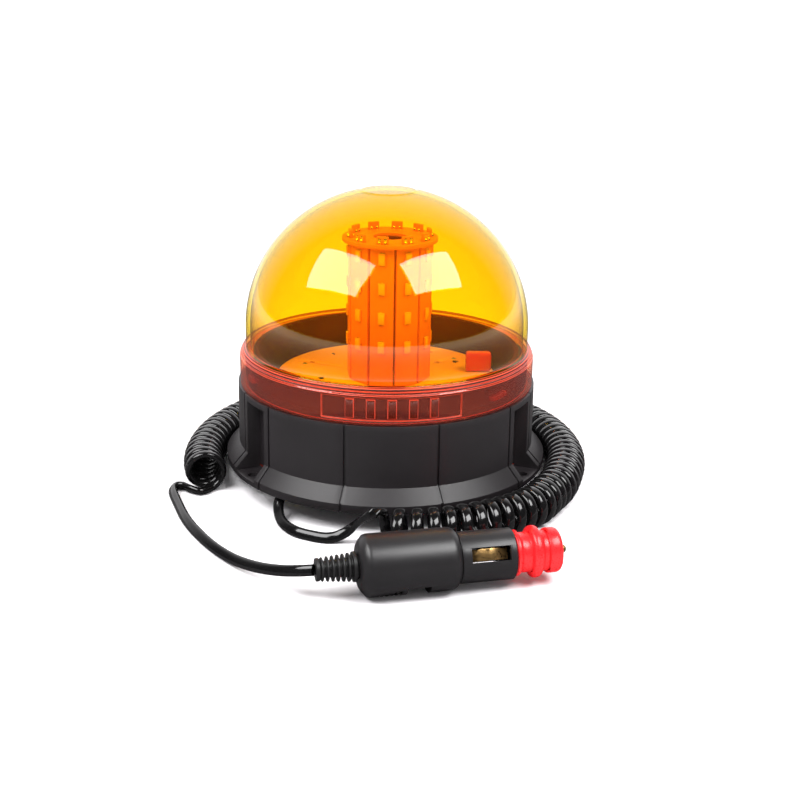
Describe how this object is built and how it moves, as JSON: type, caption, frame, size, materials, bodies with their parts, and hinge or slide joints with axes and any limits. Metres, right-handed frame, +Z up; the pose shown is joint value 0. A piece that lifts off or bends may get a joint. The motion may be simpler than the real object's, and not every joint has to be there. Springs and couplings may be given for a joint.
{
  "type": "magnetic LED warning beacon",
  "caption": "Amber domed warning beacon with an LED tower, magnetic base, curly power lead and lighter plug with a pull-off nose adapter.",
  "frame": {"origin": "middle of the magnet's rubber face, which stands on the floor", "axes": "+Z up through the lens; -Y is the front, towards the curly cord and plug; +X to the right seen from the front"},
  "size_m": [0.1918, 0.2336, 0.1341],
  "materials": {
    "amber_lens": "clear amber polycarbonate, moulded and glossy",
    "base_plastic": "black moulded plastic with a fine satin grain",
    "magnet_rubber": "matt black rubber",
    "seal_rubber": "soft black rubber",
    "zinc_steel": "zinc-plated steel",
    "ferrite": "sintered ferrite, dull dark grey",
    "board_white": "white solder mask on aluminium and glass-fibre board",
    "capacitor_red": "red dipped film capacitor",
    "component_dark": "dark moulded electronic parts",
    "cord_black": "glossy black flexible PVC",
    "wire_red": "red PVC insulation",
    "plug_black": "black moulded plastic, satin",
    "adapter_red": "bright red moulded plastic",
    "contact_brass": "rolled brass, slightly dull",
    "fuse_glass": "clear glass tube"
  },
  "bodies": {
    "beacon": {"base_housing": "base_plastic", "base_plate": "base_plastic", "magnet_boot": "magnet_rubber", "magnet_cup": "zinc_steel", "magnet_ring": "ferrite", "magnet_bolt": "zinc_steel", "magnet_washer": "zinc_steel", "magnet_nut": "zinc_steel", "main_board": "board_white", "tower_top_board": "board_white", "film_capacitor": "capacitor_red", "smoothing_capacitor": "component_dark", "driver_coil": "component_dark", "driver_chip": "component_dark", "cable_grommet": "cord_black", "cord_lead": "cord_black", "curly_cord": "cord_black", "cord_tail": "cord_black", "live_wire": "wire_red", "earth_wire": "component_dark", "plug_strain_relief": "plug_black", "plug_shell_front": "plug_black", "plug_shell_back": "plug_black", "plug_screw": "zinc_steel", "plug_barrel": "plug_black", "fuse_cap": "plug_black", "fuse_spring": "zinc_steel", "fuse_holder": "contact_brass", "led_board_01": "board_white", "led_board_02": "board_white", "led_board_03": "board_white", "led_board_04": "board_white", "led_board_05": "board_white", "led_board_06": "board_white", "led_board_07": "board_white", "led_board_08": "board_white", "led_board_09": "board_white", "led_board_10": "board_white", "base_plate_screw_1": "zinc_steel", "base_plate_screw_2": "zinc_steel", "base_plate_screw_3": "zinc_steel", "board_screw_1": "zinc_steel", "board_screw_2": "zinc_steel", "board_screw_3": "zinc_steel"},
    "lens_seal": {"lens_seal": "seal_rubber"},
    "lens": {"dome_lens": "amber_lens"},
    "tip": {"tip_contact": "contact_brass", "fuse": "fuse_glass"},
    "side_contact_front": {"side_contact_front": "contact_brass"},
    "side_contact_back": {"side_contact_back": "contact_brass"},
    "adapter": {"nose_adapter": "adapter_red"}
  },
  "joints": [
    {"name": "lens_rise", "type": "slide", "parent": "beacon", "child": "lens_seal", "axis": [0, 0, 1], "range_m": [0, 0.0048]},
    {"name": "lens_twist", "type": "hinge", "parent": "lens_seal", "child": "lens", "pos_m": [0, 0, 0.05], "axis": [0, 0, 1], "range_deg": [0, 70]},
    {"name": "adapter_pull", "type": "slide", "parent": "beacon", "child": "adapter", "axis": [0.977, 0.213, 0], "range_m": [0, 0.022]},
    {"name": "tip_press", "type": "slide", "parent": "beacon", "child": "tip", "axis": [-0.977, -0.213, 0], "range_m": [0, 0.0014], "stiffness_N_per_m": 800, "springref_m": -0.0008, "deforming": ["fuse_spring"]},
    {"name": "front_contact_flex", "type": "hinge", "parent": "beacon", "child": "side_contact_front", "pos_m": [0.03065, -0.12559, 0.01555], "axis": [-0.1, 0.4587, 0.8829], "range_deg": [0, 5], "stiffness_Nm_per_rad": 0.2, "springref_deg": -1.72},
    {"name": "back_contact_flex", "type": "hinge", "parent": "beacon", "child": "side_contact_back", "pos_m": [0.02813, -0.11403, 0.00925], "axis": [0.1, -0.4587, -0.8829], "range_deg": [0, 5], "stiffness_Nm_per_rad": 0.2, "springref_deg": -1.72}
  ],
  "couplings": [
    {"joint": "lens_rise", "follows": "lens_twist", "m_per_rad": 0.0038197}
  ]
}
